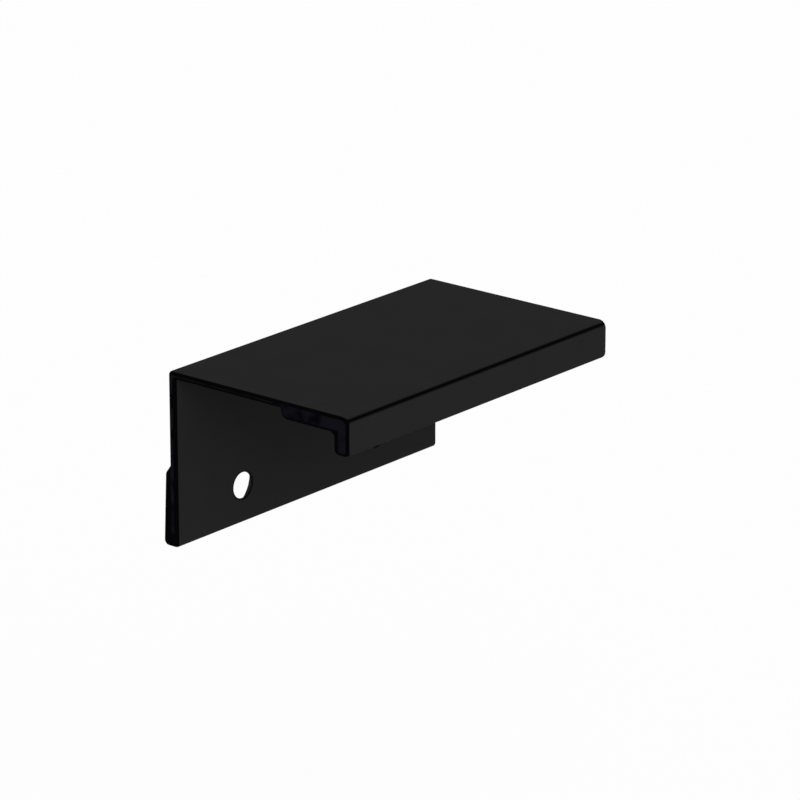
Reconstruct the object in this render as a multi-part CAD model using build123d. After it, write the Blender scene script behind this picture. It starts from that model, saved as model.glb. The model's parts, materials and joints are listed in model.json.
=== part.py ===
from build123d import *
import os

# Edge pull for a cabinet door or a drawer front: one length of extruded aluminium.
# A thin flange passes over the board's top edge. The wall behind the board takes two
# countersunk screws. The thick grip stands out in front and ends in a short lip.
#
# Millimetres. The origin is midway between the two screw holes, on the wall's seat face,
# which meets the back of the board. +X runs along the pull, -Y points out of the front of
# the door, +Z is up.

# Driving dimensions
LENGTH = 62.2
HEIGHT = 28.1
GRIP_REACH = 34.0            # seat face to the lip's outer face
BOARD_ROOM = 20.8            # seat face to the start of the grip: the thickest board that fits
HOLE_SPACING = 32.0
HOLE_BELOW_TOP = 22.0
HOLE_DIAMETER = 4.2

# Wall thicknesses of the section
FLANGE_THICKNESS = 1.2
GRIP_THICKNESS = 2.85
LIP_THICKNESS = 2.95
LIP_HEIGHT = 6.2             # top face to the lip's lower edge
WALL_THICKNESS = 1.45
SCREW_BAND_THICKNESS = 2.4   # the wall thickens here, so that the screw heads sink in
FOOT_THICKNESS = 2.9         # and grows on towards its lower edge
RAMP_TOP = 15.1              # top face to where the wall starts to thicken
RAMP_FOOT = 16.4             # top face to where the screw band begins

# Radii of the section's corners
BACK_TOP_RADIUS = 0.6
FRONT_TOP_RADIUS = 1.3
LIP_OUTER_RADIUS = 1.0
LIP_INNER_RADIUS = 0.9
LIP_ROOT_RADIUS = 0.8
GRIP_START_RADIUS = 1.3
GRIP_ROOT_RADIUS = 0.2
WALL_ROOT_RADIUS = 0.3
WALL_FRONT_FOOT_RADIUS = 0.6
WALL_BACK_FOOT_RADIUS = 0.9
RAMP_TOP_RADIUS = 0.6
RAMP_FOOT_RADIUS = 0.8

# Machining after the bar is cut to length
END_BREAK = 0.55             # rounding all round both sawn ends
HOLE_RIM_BREAK = 0.1         # 45 degree break of the hole's rim on the seat face
HOLE_LAND = 0.15             # cylindrical stretch between that break and the countersink
CUTTER_OVERRUN = 1.0         # how far the hole cutter stands out of the wall at each side


def section_face():
    """The bar's section on the YZ plane: a closed outline with its own radius at each corner."""
    top = HOLE_BELOW_TOP
    bottom = top - HEIGHT
    lip_inner = LIP_THICKNESS - GRIP_REACH
    grip_underside = top - GRIP_THICKNESS
    flange_underside = top - FLANGE_THICKNESS
    corners = [
        ((0, bottom), WALL_FRONT_FOOT_RADIUS),
        ((0, flange_underside), WALL_ROOT_RADIUS),
        ((-BOARD_ROOM, flange_underside), GRIP_ROOT_RADIUS),
        ((-BOARD_ROOM, grip_underside), GRIP_START_RADIUS),
        ((lip_inner, grip_underside), LIP_ROOT_RADIUS),
        ((lip_inner, top - LIP_HEIGHT), LIP_INNER_RADIUS),
        ((-GRIP_REACH, top - LIP_HEIGHT), LIP_OUTER_RADIUS),
        ((-GRIP_REACH, top), FRONT_TOP_RADIUS),
        ((WALL_THICKNESS, top), BACK_TOP_RADIUS),
        ((WALL_THICKNESS, top - RAMP_TOP), RAMP_TOP_RADIUS),
        ((SCREW_BAND_THICKNESS, top - RAMP_FOOT), RAMP_FOOT_RADIUS),
        ((FOOT_THICKNESS, bottom), WALL_BACK_FOOT_RADIUS),
    ]
    points = [point for point, radius in corners]
    radii = [radius for point, radius in corners]
    return Plane.YZ * make_face(FilletPolyline(*points, radius=radii, close=True))


def screw_hole_cutter():
    """The space of one screw hole, turned about the Y axis: rim break, land, 90 degree countersink."""
    radius = HOLE_DIAMETER / 2
    land_start = HOLE_RIM_BREAK
    land_end = land_start + HOLE_LAND
    back = FOOT_THICKNESS + CUTTER_OVERRUN
    half_section = Polyline(
        (0, -CUTTER_OVERRUN),
        (radius + land_start + CUTTER_OVERRUN, -CUTTER_OVERRUN),
        (radius, land_start),
        (radius, land_end),
        (radius + back - land_end, back),
        (0, back),
        close=True,
    )
    return revolve(make_face(half_section), axis=Axis.Y)


def edge_pull():
    """The section extruded to length, its ends rounded all round, and both screw holes cut."""
    bar = extrude(section_face(), amount=LENGTH / 2, both=True)
    end_faces = bar.faces().sort_by(Axis.X)
    bar = fillet(end_faces[0].edges() + end_faces[-1].edges(), radius=END_BREAK)
    for side in (-1, 1):
        bar -= Pos(side * HOLE_SPACING / 2, 0, 0) * screw_hole_cutter()
    return bar


os.makedirs("parts", exist_ok=True)
pull = edge_pull()
export_step(pull, "parts/edge_pull.step")
size = pull.bounding_box().size
print(f"edge_pull: {size.X:.2f} x {size.Y:.2f} x {size.Z:.2f} mm, {pull.volume:.1f} mm3")
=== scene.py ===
# %% [markdown]
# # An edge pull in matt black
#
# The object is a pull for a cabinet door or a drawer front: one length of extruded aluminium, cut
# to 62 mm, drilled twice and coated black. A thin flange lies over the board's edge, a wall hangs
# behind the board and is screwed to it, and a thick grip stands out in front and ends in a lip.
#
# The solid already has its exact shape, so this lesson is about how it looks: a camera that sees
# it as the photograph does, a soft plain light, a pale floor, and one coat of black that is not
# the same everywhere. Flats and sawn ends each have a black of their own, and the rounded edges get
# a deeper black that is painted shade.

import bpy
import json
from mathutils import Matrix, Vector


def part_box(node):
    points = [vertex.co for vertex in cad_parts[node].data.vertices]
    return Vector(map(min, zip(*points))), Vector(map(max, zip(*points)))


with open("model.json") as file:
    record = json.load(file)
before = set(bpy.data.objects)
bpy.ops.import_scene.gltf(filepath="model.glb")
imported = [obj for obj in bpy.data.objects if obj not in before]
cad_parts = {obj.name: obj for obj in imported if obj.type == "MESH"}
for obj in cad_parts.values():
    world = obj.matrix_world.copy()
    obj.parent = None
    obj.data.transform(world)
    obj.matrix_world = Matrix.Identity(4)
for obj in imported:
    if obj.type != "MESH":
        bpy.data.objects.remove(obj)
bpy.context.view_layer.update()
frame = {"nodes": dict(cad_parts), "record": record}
print("the frame brings", *frame["nodes"])

# %% [markdown]
# Everything is in metres and in the same frame as the solid: +X runs along the pull, -Y points
# out of the front of the door, +Z is up. A part this small is easier to think of in millimetres,
# so lengths below are written in millimetres and multiplied by `MM`.

# %% Units and the solid's own box
import json
import math

import bpy
import numpy as np
from mathutils import Vector

MM = 0.001

pull = frame["nodes"]["edge_pull"]
pull_low, pull_high = (Vector(corner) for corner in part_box("edge_pull"))
pull_size = pull_high - pull_low
print("the pull measures", [round(side / MM, 2) for side in pull_size], "mm")

# %% [markdown]
# ## The camera
#
# The photograph was taken from the front left and a little above, with a long lens: the edges that
# run along the pull stay almost parallel. The camera is placed on a sphere about a point near the
# middle of the pull. Azimuth turns it about Z, with 0 in front of the door, and elevation lifts it.
# A direction written like this is easier to read and to adjust than three coordinates.

# %% A direction from two angles, and the camera
def direction_from(azimuth, elevation):
    """Unit vector towards azimuth and elevation in degrees: (sin a cos e, -cos a cos e, sin e)."""
    a, e = math.radians(azimuth), math.radians(elevation)
    return Vector((math.sin(a) * math.cos(e), -math.cos(a) * math.cos(e), math.sin(e)))


CAMERA_AZIMUTH = -50.39
CAMERA_ELEVATION = 18.45
CAMERA_DISTANCE = 719.3 * MM
CAMERA_TARGET = Vector((2.27, -16.16, 12.54)) * MM
CAMERA_LENS = 211.0          # millimetres on a 36 mm wide picture
SENSOR_WIDTH = 36.0
CLIP_NEAR, CLIP_FAR = 0.01, 12.0

camera_data = bpy.data.cameras.new("photo_camera")
camera_data.lens = CAMERA_LENS
camera_data.sensor_width = SENSOR_WIDTH
camera_data.clip_start, camera_data.clip_end = CLIP_NEAR, CLIP_FAR
camera = bpy.data.objects.new("photo_camera", camera_data)
towards_camera = direction_from(CAMERA_AZIMUTH, CAMERA_ELEVATION)
camera.location = CAMERA_TARGET + towards_camera * CAMERA_DISTANCE
camera.rotation_euler = towards_camera.to_track_quat("Z", "Y").to_euler()
bpy.context.scene.collection.objects.link(camera)
bpy.context.scene.camera = camera
bpy.context.scene.view_settings.view_transform = "Standard"
print("the camera stands", round(CAMERA_DISTANCE / MM), "mm from its target")

# %% [markdown]
# ## The light
#
# The picture shows almost no shadow and no highlight: the top and the front of the lip have the
# same grey, and the wall gets slowly darker towards the corner under the flange. A white sky all
# round does most of that by itself, because the flange and the grip hide a part of the sky from
# the wall. One very wide lamp from the front left adds the rest: it reaches the foot of the wall
# and is cut off by the grip further up. Sky and lamp together add up to nearly 1 on the top face
# and on the front of the lip, so a colour renders about as it is written.

# %% Node helpers
def put(nodes, kind, **values):
    """Adds a node. A value named like an input is set on that socket, any other on the node."""
    node = nodes.new(kind)
    for name, value in values.items():
        socket = name.replace("_", " ")
        if socket in node.inputs:
            node.inputs[socket].default_value = value
        else:
            setattr(node, name, value)
    return node


def math_node(tree, operation, a, b=None):
    """A Math node. Each operand is a number or an output socket; returns the result's socket."""
    node = put(tree.nodes, "ShaderNodeMath", operation=operation)
    for socket, operand in zip(node.inputs, (a, b)):
        if isinstance(operand, (int, float)):
            socket.default_value = operand
        elif operand is not None:
            tree.links.new(operand, socket)
    return node.outputs["Value"]


def mix_shaders(tree, factor, a, b):
    """Shader a where factor is 0 and b where it is 1; all are sockets, and so is the result."""
    node = put(tree.nodes, "ShaderNodeMixShader")
    for socket, source in zip(node.inputs, (factor, a, b)):
        tree.links.new(source, socket)
    return node.outputs["Shader"]


print("node helpers ready: put, math_node, mix_shaders")

# %% The sky
def seen_directly(tree):
    """Socket that is 1 for rays that show a thing as it is: camera, mirrored, transmitted rays."""
    path = put(tree.nodes, "ShaderNodeLightPath").outputs
    direct = math_node(tree, "MAXIMUM", path["Is Camera Ray"], path["Is Glossy Ray"])
    return math_node(tree, "MAXIMUM", direct, path["Is Transmission Ray"])


SKY_LEVEL = 0.80
BACKGROUND_LEVEL = 1.0       # plain white, as seen by the camera and in reflections
WHITE = (1.0, 1.0, 1.0, 1.0)

world = bpy.data.worlds.new("white_sky")
world.use_nodes = True
bpy.context.scene.world = world
tree = world.node_tree
tree.nodes.clear()
sky = put(tree.nodes, "ShaderNodeBackground", Color=WHITE, Strength=SKY_LEVEL)
backdrop = put(tree.nodes, "ShaderNodeBackground", Color=WHITE, Strength=BACKGROUND_LEVEL)
output = put(tree.nodes, "ShaderNodeOutputWorld")
sky_or_backdrop = mix_shaders(
    tree, seen_directly(tree), sky.outputs["Background"], backdrop.outputs["Background"]
)
tree.links.new(sky_or_backdrop, output.inputs["Surface"])
print("the sky lights with", SKY_LEVEL, "and is seen as", BACKGROUND_LEVEL)

# %% The wide lamp from the front left
KEY_AZIMUTH, KEY_ELEVATION = -38.0, 34.0
KEY_WIDTH = math.radians(45.0)
KEY_LEVEL = 0.28             # what it adds to a white face that looks straight at it

key_data = bpy.data.lights.new("wide_key", "SUN")
key_data.energy = KEY_LEVEL * math.pi
key_data.angle = KEY_WIDTH
key = bpy.data.objects.new("wide_key", key_data)
towards_key = direction_from(KEY_AZIMUTH, KEY_ELEVATION)
key.rotation_euler = towards_key.to_track_quat("Z", "Y").to_euler()
bpy.context.scene.collection.objects.link(key)
print("sky and key give the top face", round(SKY_LEVEL + KEY_LEVEL * towards_key.z, 3),
      "and the lip's front", round(SKY_LEVEL - KEY_LEVEL * towards_key.y, 3))

# %% [markdown]
# ## Textures in millimetres
#
# Two finishes below need a fine grain: the blasted coat of the pull and the paper of the floor.
# What more than one material uses is built once, as a node group with named inputs and outputs,
# and each material sets its own sizes. The group reads object coordinates, which are metres here,
# and turns them into millimetres first, so that every size in it can be given as a real one.

# %% A node group from two tables of sockets
VALUE, VECTOR = "NodeSocketFloat", "NodeSocketVector"


def new_group(name, inputs, outputs):
    """An empty shader node group with its in and out nodes. inputs, outputs: (name, kind) each."""
    group = bpy.data.node_groups.new(name, "ShaderNodeTree")
    for direction, sockets in (("INPUT", inputs), ("OUTPUT", outputs)):
        for socket_name, kind in sockets:
            group.interface.new_socket(socket_name, in_out=direction, socket_type=kind)
    return group, group.nodes.new("NodeGroupInput"), group.nodes.new("NodeGroupOutput")


def scaled_noise(tree, position, size, detail):
    """Noise whose lumps are `size` wide, a number or a socket; returns its value's socket.

    The noise's scale is 1 / size, so size is in the unit of `position`.
    """
    noise = put(tree.nodes, "ShaderNodeTexNoise", Detail=detail)
    tree.links.new(position, noise.inputs["Vector"])
    tree.links.new(math_node(tree, "DIVIDE", 1.0, size), noise.inputs["Scale"])
    return noise.outputs["Fac"]


print("group helpers ready: new_group, scaled_noise")

# %% The grain group
GRAIN_DETAIL, CLOUD_DETAIL = 2.0, 1.0

grain_group, group_in, group_out = new_group(
    "fine_grain",
    inputs=[("Position", VECTOR), ("Grain Size", VALUE), ("Cloud Size", VALUE)],
    outputs=[("Millimetres", VECTOR), ("Grain", VALUE), ("Cloud", VALUE)],
)
in_mm = put(grain_group.nodes, "ShaderNodeVectorMath", operation="SCALE", Scale=1 / MM)
place_in_mm = in_mm.outputs["Vector"]
grain_group.links.new(group_in.outputs["Position"], in_mm.inputs["Vector"])
grain_group.links.new(place_in_mm, group_out.inputs["Millimetres"])
for name, detail in (("Grain", GRAIN_DETAIL), ("Cloud", CLOUD_DETAIL)):
    noise = scaled_noise(grain_group, place_in_mm, group_in.outputs[f"{name} Size"], detail)
    grain_group.links.new(noise, group_out.inputs[name])
print("group", grain_group.name, "with", len(grain_group.nodes), "nodes")

# %% [markdown]
# ## Which kind of surface is this?
#
# On the real part three kinds of surface can be told apart. The long flat faces are blasted and
# read as charcoal. The rounded edges get a deeper black, which is painted shade. The two sawn ends
# are darker than the flats and lean a little to violet.
#
# The kinds could be painted by hand as vertex colours, but the shape already tells them apart. A
# flat face looks along X, Y or Z, and only a rounding looks in between. One flat is slanted: the
# ramp on the back, where the wall thickens. Its direction is read from the solid, as the normal of
# the largest triangle that looks along no axis.

# %% The solid's faces as arrays
def face_array(mesh, name, width):
    """One attribute of every face, such as its normal, as an array of shape (faces, width)."""
    values = np.empty(len(mesh.polygons) * width, np.float32)
    mesh.polygons.foreach_get(name, values)
    return values.reshape(-1, width)


face_areas = face_array(pull.data, "area", 1)[:, 0]
face_normals = face_array(pull.data, "normal", 3)
face_centres = face_array(pull.data, "center", 3)
print("the solid has", len(face_areas), "faces")

# %% The slanted flat on the back
SLANTED_BELOW = 0.97         # a face is slanted if no part of its normal is larger

is_slanted = np.abs(face_normals).max(axis=1) < SLANTED_BELOW
ramp_face = pull.data.polygons[int(np.argmax(face_areas * is_slanted))]
ramp_normal = ramp_face.normal.copy()
ramp_top = max(pull.data.vertices[corner].co.z for corner in ramp_face.vertices)
print("the ramp looks along", [round(part, 3) for part in ramp_normal],
      "and ends at z", round(ramp_top / MM, 2), "mm")

# %% [markdown]
# The masks are worked out inside a node group, from the normal and from the place in millimetres,
# so that the material that uses them stays short. A mask is a value between 0 and 1, so a few
# small helpers are enough: a soft step, the rest of a mask, the product of masks for where all of
# them hold, and the largest of masks for where any of them does.

# %% Mask helpers
def split(tree, vector):
    """The X, Y and Z sockets of a vector socket."""
    parts = put(tree.nodes, "ShaderNodeSeparateXYZ")
    tree.links.new(vector, parts.inputs["Vector"])
    return parts.outputs["X"], parts.outputs["Y"], parts.outputs["Z"]


def smooth_step(tree, value, start, full):
    """0 below start, 1 above full and an S curve between; start and full: numbers or sockets."""
    step = put(tree.nodes, "ShaderNodeMapRange", interpolation_type="SMOOTHSTEP")
    tree.links.new(value, step.inputs["Value"])
    for name, bound in (("From Min", start), ("From Max", full)):
        if isinstance(bound, (int, float)):
            step.inputs[name].default_value = bound
        else:
            tree.links.new(bound, step.inputs[name])
    return step.outputs["Result"]


def rest_of(tree, mask):
    """1 - mask: what a mask leaves over."""
    return math_node(tree, "SUBTRACT", 1.0, mask)


def all_of(tree, mask, *others):
    """The product of masks: 1 only where every one of them is 1."""
    for other in others:
        mask = math_node(tree, "MULTIPLY", mask, other)
    return mask


def any_of(tree, mask, *others):
    """The largest of masks: 1 where any one of them is 1."""
    for other in others:
        mask = math_node(tree, "MAXIMUM", mask, other)
    return mask


print("mask helpers ready: split, smooth_step, rest_of, all_of, any_of")

# %% [markdown]
# The first mask is that of the roundings, which get painted shade. It measures how far the normal
# falls short of the nearest flat direction. A sawn end counts as flat only where it is truly flat,
# so all of its rounding gets the painted shade. The painted shade starts a little way down the long
# front edge from the top, so there a part of the forward direction is added to the upward one.

# %% The surface kind group
kind_group, group_in, group_out = new_group(
    "surface_kind",
    inputs=[("Normal", VECTOR), ("Millimetres", VECTOR), ("Rounding Start", VALUE),
            ("Rounding Full", VALUE), ("Front Reach", VALUE)],
    outputs=[("Rounding", VALUE), ("Sawn End", VALUE)],
)
normal_parts = split(kind_group, group_in.outputs["Normal"])
size_x, size_y, size_z = (math_node(kind_group, "ABSOLUTE", part) for part in normal_parts)
_, normal_y, normal_z = normal_parts
_, place_y, place_z = split(kind_group, group_in.outputs["Millimetres"])
forward_part = math_node(kind_group, "MULTIPLY", normal_y, -1.0)
looks_front = math_node(kind_group, "MAXIMUM", forward_part, 0.0)
looks_down = math_node(kind_group, "MULTIPLY", normal_z, -1.0)
print("group", kind_group.name, "starts with", len(kind_group.nodes), "nodes")

# %% Flats, ramp and sawn ends
END_START, END_FULL = 0.985, 0.998     # how much of the normal points along X on a sawn end
RAMP_MARGIN = 0.5                      # millimetres above the ramp's upper line

sawn = smooth_step(kind_group, size_x, END_START, END_FULL)
kind_group.links.new(sawn, group_out.inputs["Sawn End"])

towards_ramp = put(kind_group.nodes, "ShaderNodeVectorMath", operation="DOT_PRODUCT")
towards_ramp.inputs[1].default_value = ramp_normal
kind_group.links.new(group_in.outputs["Normal"], towards_ramp.inputs[0])
low_enough = math_node(kind_group, "LESS_THAN", place_z, ramp_top / MM + RAMP_MARGIN)
on_ramp = all_of(kind_group, towards_ramp.outputs["Value"], low_enough)

reach = math_node(kind_group, "MULTIPLY", looks_front, group_in.outputs["Front Reach"])
upwards = math_node(kind_group, "ADD", size_z, reach)
shortfall = rest_of(kind_group, any_of(kind_group, size_y, upwards, sawn, on_ramp))
any_rounding = smooth_step(kind_group, shortfall, group_in.outputs["Rounding Start"],
                           group_in.outputs["Rounding Full"])
end_area = face_areas[np.abs(face_normals[:, 0]) > END_FULL].sum() / MM ** 2
print("the two sawn ends measure", round(float(end_area), 1), "square millimetres")

# %% [markdown]
# Long edges that look down get no painted shade, so they leave the mask again. The same edges of
# a sawn end keep their painted shade. The two are told apart by how much of the normal points along
# X.

# %% Long edges that look down stay charcoal
DOWN_START, DOWN_FULL = 0.05, 0.35     # how much of the normal points down
SIDE_START, SIDE_FULL = 0.05, 0.30     # how much of it points along X on an end's rounding

to_the_side = smooth_step(kind_group, size_x, SIDE_START, SIDE_FULL)
below = smooth_step(kind_group, looks_down, DOWN_START, DOWN_FULL)
long_and_below = all_of(kind_group, below, rest_of(kind_group, to_the_side))
rounding = all_of(kind_group, any_rounding, rest_of(kind_group, long_and_below))
print("an edge looks down from a tilt of", round(math.degrees(math.asin(DOWN_FULL))), "degrees on")

# %% [markdown]
# Beside the inner faces, which the grip and the flange shade, the painted shade of the end's
# rounding starts right at the flat. A rounding lies beside an inner face where its normal points
# neither up nor out of the lip's front.

# %% Roundings of the ends beside inner faces
OUTER_START, OUTER_FULL = 0.1, 0.3     # how much of the normal points up, or out of the lip's front

middle_depth = (pull_low.y + pull_high.y) / 2 / MM
in_front = math_node(kind_group, "LESS_THAN", place_y, middle_depth)
forwards = all_of(kind_group, looks_front, in_front)
outwards = any_of(kind_group, normal_z, forwards)
inner = rest_of(kind_group, smooth_step(kind_group, outwards, OUTER_START, OUTER_FULL))
beside_end = math_node(kind_group, "SUBTRACT", to_the_side, sawn)
inner_rounding = all_of(kind_group, beside_end, inner)
print("the lip lies in front of y", round(middle_depth, 1), "mm and the wall behind it")

# %% [markdown]
# On these sides the painted shade also runs on over the sawn end, as a border of about half a
# millimetre to one and a half. It lies along the lip's inner side, under the grip and the lip, and
# along the back and the foot of the wall. The places of these faces are read from the solid: each
# flat face that looks down, or to the back, has one level.

# %% The levels of the flat faces
ALONG_AXIS = 0.9999          # a face looks along an axis if this much of its normal does
LEVEL_AREA = 20.0            # square millimetres; smaller flats don't count
LEVEL_DECIMALS = 2           # levels are told apart to a hundredth of a millimetre
Y_AXIS, Z_AXIS = 1, 2


def flat_levels(axis, side):
    """Where the flat faces lie that look along an axis: places in millimetres, lowest first."""
    looks_there = side * face_normals[:, axis] > ALONG_AXIS
    places = np.round(face_centres[looks_there, axis].astype(float) / MM, LEVEL_DECIMALS)
    levels, which = np.unique(places, return_inverse=True)
    areas = np.bincount(which, face_areas[looks_there]) / MM ** 2
    return levels[areas > LEVEL_AREA].tolist()


levels_looking_down = flat_levels(Z_AXIS, -1)
levels_looking_back = flat_levels(Y_AXIS, 1)
foot_low, lip_low, grip_low = levels_looking_down[:3]
lip_inner = levels_looking_back[0]
print("flat faces look down at z", levels_looking_down, "and back at y", levels_looking_back)

# %% The painted-shade border on the inner sides of the sawn ends
BORDER_SOFTNESS = 0.15       # millimetres over which a border fades, to each side
LIP_BORDER = 1.0             # millimetres from the lip's inner side
UNDERSIDE_BORDER = 0.6       # from the underside of the grip and of the lip
WALL_BORDER = 1.65           # from the back of the foot, where the wall is thickest
FOOT_BORDER = 1.4            # from the wall's lower edge


def beyond(tree, place, level):
    """Mask that is 1 where place is above level, with a soft change; all in millimetres."""
    return smooth_step(tree, place, level - BORDER_SOFTNESS, level + BORDER_SOFTNESS)


def short_of(tree, place, level):
    """Mask that is 1 where place is below level: what `beyond` leaves over."""
    return rest_of(tree, beyond(tree, place, level))


behind_lip = beyond(kind_group, place_y, lip_inner - LIP_BORDER)
under_grip = short_of(kind_group, place_z, grip_low + UNDERSIDE_BORDER)
under_lip = short_of(kind_group, place_z, lip_low + UNDERSIDE_BORDER)
behind_wall = beyond(kind_group, place_y, pull_high.y / MM - WALL_BORDER)
under_wall = short_of(kind_group, place_z, foot_low + FOOT_BORDER)
round_grip = all_of(kind_group, behind_lip, under_grip)
front_border = all_of(kind_group, any_of(kind_group, round_grip, under_lip), in_front)
border = all_of(kind_group, any_of(kind_group, front_border, behind_wall, under_wall), sawn)
print("the border is", UNDERSIDE_BORDER, "to", WALL_BORDER, "mm wide")

# %% All that gets painted shade
# painted shade: the roundings, the roundings beside inner faces and the borders of the sawn ends
black = any_of(kind_group, rounding, inner_rounding, border)
kind_group.links.new(black, group_out.inputs["Rounding"])
print("group", kind_group.name, "with", len(kind_group.nodes), "nodes")

# %% [markdown]
# ## The screw holes
#
# Each hole was drilled and countersunk before the coat went on, so its walls are a charcoal that
# is only a little deeper than that of the flats. The mask of the roundings would take them for
# edges, because they are slanted too. The record says how far apart the holes are and how wide,
# and the distance from the nearest hole's axis tells them apart: near an axis, whatever isn't
# square to it was cut by the drill. The same distance draws the fine circles that the cutter left
# in the countersinks, and the soft ring of painted shade that runs round the rim on the front.

# %% The holes in the record
mounts = {mount["name"]: mount for mount in frame["record"]["mounts"]}
hole_sizes = mounts["screw_holes"]["dims"]
HOLE_SPACING = hole_sizes["spacing_x_mm"]
HOLE_RADIUS = hole_sizes["hole_r_mm"]
print("holes", HOLE_SPACING, "mm apart, each of", 2 * HOLE_RADIUS, "mm")

# %% The screw hole group
CUT_REACH = 4.8              # millimetres; a little more than the countersink's outer radius
SQUARE_START, SQUARE_FULL = 0.02, 0.12   # how much of the normal is off the hole's axis

hole_group, group_in, group_out = new_group(
    "screw_holes",
    inputs=[("Normal", VECTOR), ("Millimetres", VECTOR), ("Ring Full", VALUE), ("Ring End", VALUE)],
    outputs=[("Cut", VALUE), ("Ring", VALUE), ("Distance", VALUE)],
)
place_x, _, place_z = split(hole_group, group_in.outputs["Millimetres"])
_, normal_y, _ = split(hole_group, group_in.outputs["Normal"])
from_middle = math_node(hole_group, "ABSOLUTE", place_x)
across = math_node(hole_group, "SUBTRACT", from_middle, HOLE_SPACING / 2)
squares = (math_node(hole_group, "MULTIPLY", side, side) for side in (across, place_z))
distance = math_node(hole_group, "SQRT", math_node(hole_group, "ADD", *squares))
off_axis = rest_of(hole_group, math_node(hole_group, "ABSOLUTE", normal_y))
cut = all_of(hole_group, math_node(hole_group, "LESS_THAN", distance, CUT_REACH),
             smooth_step(hole_group, off_axis, SQUARE_START, SQUARE_FULL))
# the ring round the rim on the front is painted shade
outside_ring = smooth_step(
    hole_group, distance, group_in.outputs["Ring Full"], group_in.outputs["Ring End"]
)
on_front = math_node(hole_group, "LESS_THAN", normal_y, 0.0)
ring = all_of(hole_group, rest_of(hole_group, outside_ring), on_front)
for name, socket in (("Cut", cut), ("Ring", ring), ("Distance", distance)):
    hole_group.links.new(socket, group_out.inputs[name])
print("group", hole_group.name, "with", len(hole_group.nodes), "nodes")

# %% [markdown]
# ## The black coat
#
# The coat is one material. It starts by placing the three groups and giving each its sizes. The
# hole group's ring of painted shade joins the roundings' painted shade, at a part of their
# strength, and the drilled walls leave
# them: what is left is all the painted shade of the edges and rims.

# %% The coat's masks and grain
def place_group(tree, group, **values):
    """A group node in a material. Values are set on its inputs, with _ for a blank."""
    node = put(tree.nodes, "ShaderNodeGroup", node_tree=group)
    for name, value in values.items():
        node.inputs[name.replace("_", " ")].default_value = value
    return node


GRAIN_SIZE, CLOUD_SIZE = 0.16, 7.0           # millimetres
ROUNDING_START, ROUNDING_FULL = 0.02, 0.15   # how far the normal falls short of a flat direction
FRONT_REACH = 0.225                          # share of the forward direction that counts as up
RING_FULL, RING_END = 0.2, 0.4               # millimetres outside a hole's radius
RIM_SHADE_DEPTH = 0.65                            # how far the ring of painted shade goes towards the edges' painted shade

coat = bpy.data.materials.new("matt_black_coat")
coat.use_nodes = True
tree = coat.node_tree
surface = tree.nodes["Principled BSDF"]
place = put(tree.nodes, "ShaderNodeTexCoord")
grain = place_group(tree, grain_group, Grain_Size=GRAIN_SIZE, Cloud_Size=CLOUD_SIZE)
tree.links.new(place.outputs["Object"], grain.inputs["Position"])
kind = place_group(tree, kind_group, Rounding_Start=ROUNDING_START, Rounding_Full=ROUNDING_FULL,
                   Front_Reach=FRONT_REACH)
holes = place_group(tree, hole_group, Ring_Full=HOLE_RADIUS + RING_FULL,
                    Ring_End=HOLE_RADIUS + RING_END)
for node in (kind, holes):
    tree.links.new(place.outputs["Normal"], node.inputs["Normal"])
    tree.links.new(grain.outputs["Millimetres"], node.inputs["Millimetres"])

ring = math_node(tree, "MULTIPLY", holes.outputs["Ring"], RIM_SHADE_DEPTH)
outside_holes = rest_of(tree, holes.outputs["Cut"])
# painted shade of the edges, the end borders and the rims, as one mask
painted_edge_shade = any_of(tree, all_of(tree, kind.outputs["Rounding"], outside_holes), ring)
print("the ring round each rim ends", HOLE_RADIUS + RING_END, "mm from the hole's axis")

# %% [markdown]
# The colour starts from the charcoal of the flats, which varies by a few percent in soft clouds
# and in a fine grain, and is a little deeper in the holes. The sawn ends get their own black over
# it, a violet one that is paler in some patches, where the bare cut took less of the dye. The
# roundings and the borders get the deepest black over both: painted shade.

# %% Colour helpers
def mix_colour(tree, factor, a, b):
    """Mix of two colours, each an RGBA value or a socket; returns the result's socket."""
    node = put(tree.nodes, "ShaderNodeMix", data_type="RGBA")
    sockets = [s for s in node.inputs if s.type == "RGBA"]
    tree.links.new(factor, node.inputs["Factor"])
    for socket, colour in zip(sockets, (a, b)):
        if isinstance(colour, tuple):
            socket.default_value = colour
        else:
            tree.links.new(colour, socket)
    return next(s for s in node.outputs if s.type == "RGBA")


def spread(tree, value, middle, depth):
    """middle * (1 + depth * (2 value - 1)): a 0 to 1 mask turned into a swing about middle."""
    scaled = math_node(tree, "MULTIPLY", value, 2 * depth * middle)
    return math_node(tree, "ADD", scaled, middle * (1 - depth))


def scaled_colour(tree, colour, factor):
    """colour * factor, with factor a socket; returns the result's socket."""
    node = put(tree.nodes, "ShaderNodeVectorMath", operation="SCALE")
    node.inputs[0].default_value = colour[:3]
    tree.links.new(factor, node.inputs["Scale"])
    return node.outputs["Vector"]


print("colour helpers ready: mix_colour, spread, scaled_colour")

# %% The coat's colour
FLAT_BLACK = (0.0178, 0.0178, 0.0178, 1.0)
END_BLACK = (0.0046, 0.0045, 0.0074, 1.0)
# near-black of the painted shade on edges, end borders and rims
PAINTED_EDGE_SHADE = (0.0012, 0.0012, 0.0013, 1.0)
CLOUD_DEPTH = 0.06           # share by which the clouds change the charcoal
GRAIN_DEPTH = 0.10           # share by which the grain changes it
HOLE_DEPTH = 0.35            # share by which the drilled walls are darker than the flats
PATCH_SIZE = 3.0             # millimetres
PATCH_START, PATCH_FULL = 0.32, 0.54   # noise levels between which a patch of the end turns pale
PATCH_LEVEL, PATCH_DEPTH = 0.72, 0.60  # tone halfway, and the share by which patches change it

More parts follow.
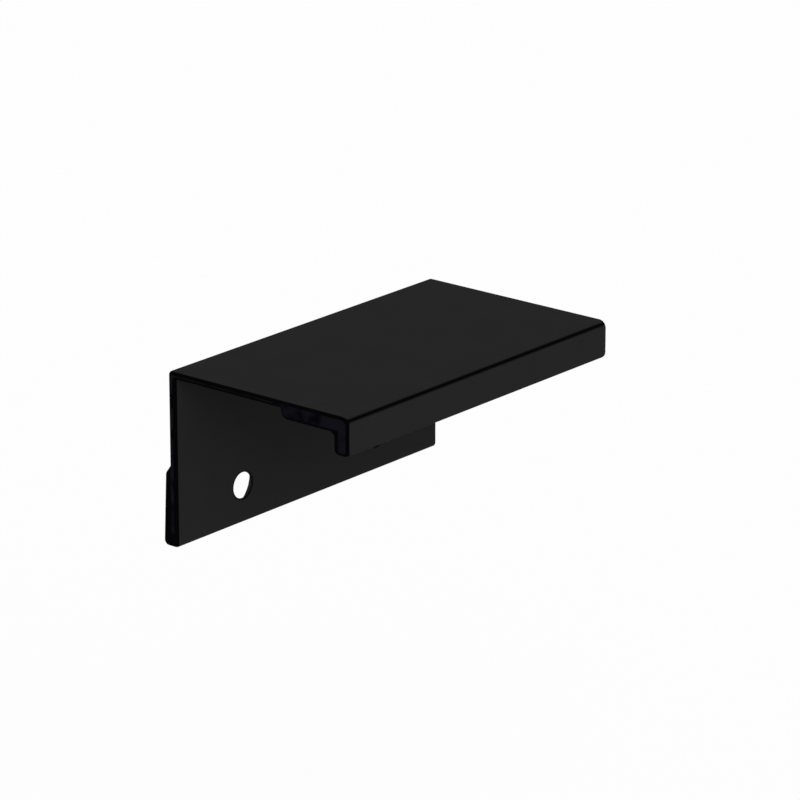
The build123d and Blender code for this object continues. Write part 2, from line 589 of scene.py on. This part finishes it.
grain_tone = spread(tree, grain.outputs["Grain"], 1.0, GRAIN_DEPTH)
cloud_tone = spread(tree, grain.outputs["Cloud"], 1.0, CLOUD_DEPTH)
hole_tone = rest_of(tree, math_node(tree, "MULTIPLY", holes.outputs["Cut"], HOLE_DEPTH))
charcoal = scaled_colour(tree, FLAT_BLACK, all_of(tree, grain_tone, cloud_tone, hole_tone))

patches = place_group(tree, grain_group, Cloud_Size=PATCH_SIZE)
tree.links.new(place.outputs["Object"], patches.inputs["Position"])
patch = smooth_step(tree, patches.outputs["Cloud"], PATCH_START, PATCH_FULL)
violet_black = scaled_colour(tree, END_BLACK, spread(tree, patch, PATCH_LEVEL, PATCH_DEPTH))

with_ends = mix_colour(tree, kind.outputs["Sawn End"], charcoal, violet_black)
with_edge_shade = mix_colour(tree, painted_edge_shade, with_ends, PAINTED_EDGE_SHADE)
tree.links.new(with_edge_shade, surface.inputs["Base Color"])
print("the flats are", round(FLAT_BLACK[0] / PAINTED_EDGE_SHADE[0]), "times as light as the edges")

# %% [markdown]
# The same masks drive the roughness. Blasted flats scatter light widely, smooth edges less. The
# level of mirrored light is the same everywhere, so it is set on the shader itself.

# %% The coat's roughness
FLAT_ROUGHNESS, EDGE_ROUGHNESS = 0.75, 0.60
ROUGHNESS_SPREAD = 0.06      # share by which the grain changes it
COAT_SPECULAR = 0.003        # a deep matt coat mirrors very little

flat_roughness = spread(tree, grain.outputs["Grain"], FLAT_ROUGHNESS, ROUGHNESS_SPREAD)
smoothing = math_node(tree, "MULTIPLY", painted_edge_shade, FLAT_ROUGHNESS - EDGE_ROUGHNESS)
roughness = math_node(tree, "SUBTRACT", flat_roughness, smoothing)
tree.links.new(roughness, surface.inputs["Roughness"])
surface.inputs["Specular IOR Level"].default_value = COAT_SPECULAR
print("roughness runs from", EDGE_ROUGHNESS, "on edges to", FLAT_ROUGHNESS, "on flats")

# %% [markdown]
# ## Fine lines and relief
#
# Each kind of surface keeps the faint lines of the tool that made it. The flats have those of the
# extrusion's die: noise that is drawn out along X, a few tenths of a millimetre wide and many
# centimetres long. The ends have the arcs of the saw blade instead, rings about the blade's
# centre, far outside the part. The countersinks have the circles of the cutter, rings about the
# hole's axis.

# %% Die lines along the flats
LINE_DETAIL = 2.0
DIE_LINE_WIDTH = 0.35        # millimetres
DIE_LINE_STRETCH = 400.0     # how many times longer than wide

stretch = put(tree.nodes, "ShaderNodeMapping", Scale=(1 / DIE_LINE_STRETCH, 1.0, 1.0))
tree.links.new(grain.outputs["Millimetres"], stretch.inputs["Vector"])
die_lines = scaled_noise(tree, stretch.outputs["Vector"], DIE_LINE_WIDTH, LINE_DETAIL)
print("die lines are about", round(DIE_LINE_WIDTH * DIE_LINE_STRETCH), "mm long")

# %% Saw arcs on the ends
SAW_LINE_WIDTH = 0.30        # millimetres
SAW_CENTRE = (0.0, 60.0, 150.0)      # millimetres; the blade's axis runs along X
END_PLANE = (0.0, 1.0, 1.0)  # keeps Y and Z and drops X


def line_noise(tree, value, width):
    """Noise along one value, in lines about `width` wide, in the unit of `value`."""
    node = put(tree.nodes, "ShaderNodeTexNoise", noise_dimensions="1D", Scale=1 / width,
               Detail=LINE_DETAIL)
    tree.links.new(value, node.inputs["W"])
    return node.outputs["Fac"]


from_centre = put(tree.nodes, "ShaderNodeVectorMath", operation="SUBTRACT")
from_centre.inputs[1].default_value = SAW_CENTRE
in_end_plane = put(tree.nodes, "ShaderNodeVectorMath", operation="MULTIPLY")
in_end_plane.inputs[1].default_value = END_PLANE
blade_radius = put(tree.nodes, "ShaderNodeVectorMath", operation="LENGTH")
tree.links.new(grain.outputs["Millimetres"], from_centre.inputs[0])
tree.links.new(from_centre.outputs["Vector"], in_end_plane.inputs[0])
tree.links.new(in_end_plane.outputs["Vector"], blade_radius.inputs[0])
saw_lines = line_noise(tree, blade_radius.outputs["Value"], SAW_LINE_WIDTH)
print("the saw's arcs have a radius of about", round(math.hypot(*SAW_CENTRE)), "mm")

# %% Circles in the countersinks
TURNED_LINE_WIDTH = 0.15     # millimetres

turned_lines = line_noise(tree, holes.outputs["Distance"], TURNED_LINE_WIDTH)
print("the cutter's circles are", TURNED_LINE_WIDTH, "mm wide")

# %% [markdown]
# Lines and grain add up to one height of a few thousandths of a millimetre, and a bump turns it
# into small tilts of the surface. That is enough for a finish this flat, and the shape itself
# stays as it is. The smooth edges take no part.

# %% Lines and grain into one bump
GRAIN_RELIEF = 0.0035        # millimetres
LINE_RELIEF = 0.0030


def blend_value(tree, factor, a, b):
    """a where factor is 0 and b where it is 1; all three are sockets."""
    node = put(tree.nodes, "ShaderNodeMix", data_type="FLOAT")
    for name, socket in (("Factor", factor), ("A", a), ("B", b)):
        tree.links.new(socket, node.inputs[name])
    return node.outputs["Result"]


outer_lines = blend_value(tree, kind.outputs["Sawn End"], die_lines, saw_lines)
lines = blend_value(tree, holes.outputs["Cut"], outer_lines, turned_lines)
line_height = math_node(tree, "MULTIPLY", lines, LINE_RELIEF)
grain_height = math_node(tree, "MULTIPLY", grain.outputs["Grain"], GRAIN_RELIEF)
height = all_of(tree, math_node(tree, "ADD", line_height, grain_height), rest_of(tree, painted_edge_shade))
bump = put(tree.nodes, "ShaderNodeBump", Strength=1.0, Distance=MM)
tree.links.new(height, bump.inputs["Height"])
tree.links.new(bump.outputs["Normal"], surface.inputs["Normal"])
print("the relief is", round(GRAIN_RELIEF + LINE_RELIEF, 4), "mm at most")

# %% Give the coat to the pull
for slot in pull.material_slots:
    slot.material = coat
print("the coat has", len(tree.nodes), "nodes and covers", len(pull.material_slots), "slot")

# %% [markdown]
# ## The floor
#
# The pull hangs on its two screws, so nothing has to stand under it. The floor lies a hand's
# breadth lower: its shadow then arrives wide and faint, as in a cut-out picture on white. The
# floor is a round sheet of pale paper, worked out as a surface of two parameters: the ring and the
# angle.

# %% A mesh from a grid of points
def surface_mesh(name, points):
    """Mesh of a grid of shape (rings, steps, 3), closed round the steps.

    Quad (i, j) joins points (i, j), (i + 1, j), (i + 1, j + 1) and (i, j + 1), with j taken
    modulo the number of steps. The hole inside the first ring is closed by one face.
    """
    rings, steps, _ = points.shape
    i, j = np.meshgrid(np.arange(rings - 1), np.arange(steps), indexing="ij")
    inner, outer, right = i * steps, (i + 1) * steps, (j + 1) % steps
    quads = np.stack([inner + j, outer + j, outer + right, inner + right], axis=-1)
    faces = quads.reshape(-1, 4).tolist() + [list(range(steps))]
    mesh = bpy.data.meshes.new(name)
    mesh.from_pydata(points.reshape(-1, 3).tolist(), [], faces)
    mesh.update()
    return mesh


def round_sheet(first_radius, last_radius, height, rings, steps):
    """Flat rings whose radii grow by one ratio: (r cos t, r sin t, height), t from 0 to 2 pi."""
    radius = np.geomspace(first_radius, last_radius, rings)[:, None]
    angle = np.linspace(0.0, 2 * np.pi, steps, endpoint=False)[None, :]
    level = np.full((rings, steps), height)
    return np.stack([radius * np.cos(angle), radius * np.sin(angle), level], axis=-1)


print("mesh helpers ready: surface_mesh, round_sheet")

# %% The sheet of paper
FLOOR_GAP = 80 * MM          # from the pull's lowest edge down to the floor
FLOOR_RADIUS = 4.0
FLOOR_FIRST_RING = 0.02
FLOOR_RINGS, FLOOR_STEPS = 12, 96

floor_height = pull_low.z - FLOOR_GAP
floor_points = round_sheet(FLOOR_FIRST_RING, FLOOR_RADIUS, floor_height, FLOOR_RINGS, FLOOR_STEPS)
floor = bpy.data.objects.new("paper_floor", surface_mesh("paper_floor", floor_points))
bpy.context.scene.collection.objects.link(floor)
print("floor of", len(floor.data.polygons), "faces,", round(FLOOR_GAP / MM), "mm below the pull")

# %% [markdown]
# The paper takes the fine grain of the same group, at a size of its own. The camera sees the paper
# mostly as plain white and a tenth of it as it is really lit, which keeps the shadow.

# %% The paper's finish
PAPER_DARK, PAPER_LIGHT = (0.88, 0.88, 0.88, 1.0), (0.92, 0.92, 0.92, 1.0)
PAPER_ROUGHNESS = 0.9
FIBRE_SIZE = 1.5             # millimetres
PLAIN_WHITE_SHARE = 0.9      # how much of what the camera sees is plain white

paper = bpy.data.materials.new("pale_paper")
paper.use_nodes = True
tree = paper.node_tree
sheet = tree.nodes["Principled BSDF"]
place = put(tree.nodes, "ShaderNodeTexCoord")
fibre = place_group(tree, grain_group, Grain_Size=FIBRE_SIZE)
tree.links.new(place.outputs["Object"], fibre.inputs["Position"])
paper_colour = mix_colour(tree, fibre.outputs["Grain"], PAPER_DARK, PAPER_LIGHT)
tree.links.new(paper_colour, sheet.inputs["Base Color"])
sheet.inputs["Roughness"].default_value = PAPER_ROUGHNESS
sheet.inputs["Specular IOR Level"].default_value = 0.0

glow = put(tree.nodes, "ShaderNodeEmission", Color=WHITE, Strength=BACKGROUND_LEVEL)
plain_share = math_node(tree, "MULTIPLY", seen_directly(tree), PLAIN_WHITE_SHARE)
paper_or_white = mix_shaders(tree, plain_share, sheet.outputs["BSDF"], glow.outputs["Emission"])
tree.links.new(paper_or_white, tree.nodes["Material Output"].inputs["Surface"])
floor.data.materials.append(paper)
print("paper", paper.name, "reflects", PAPER_LIGHT[0], "at most")
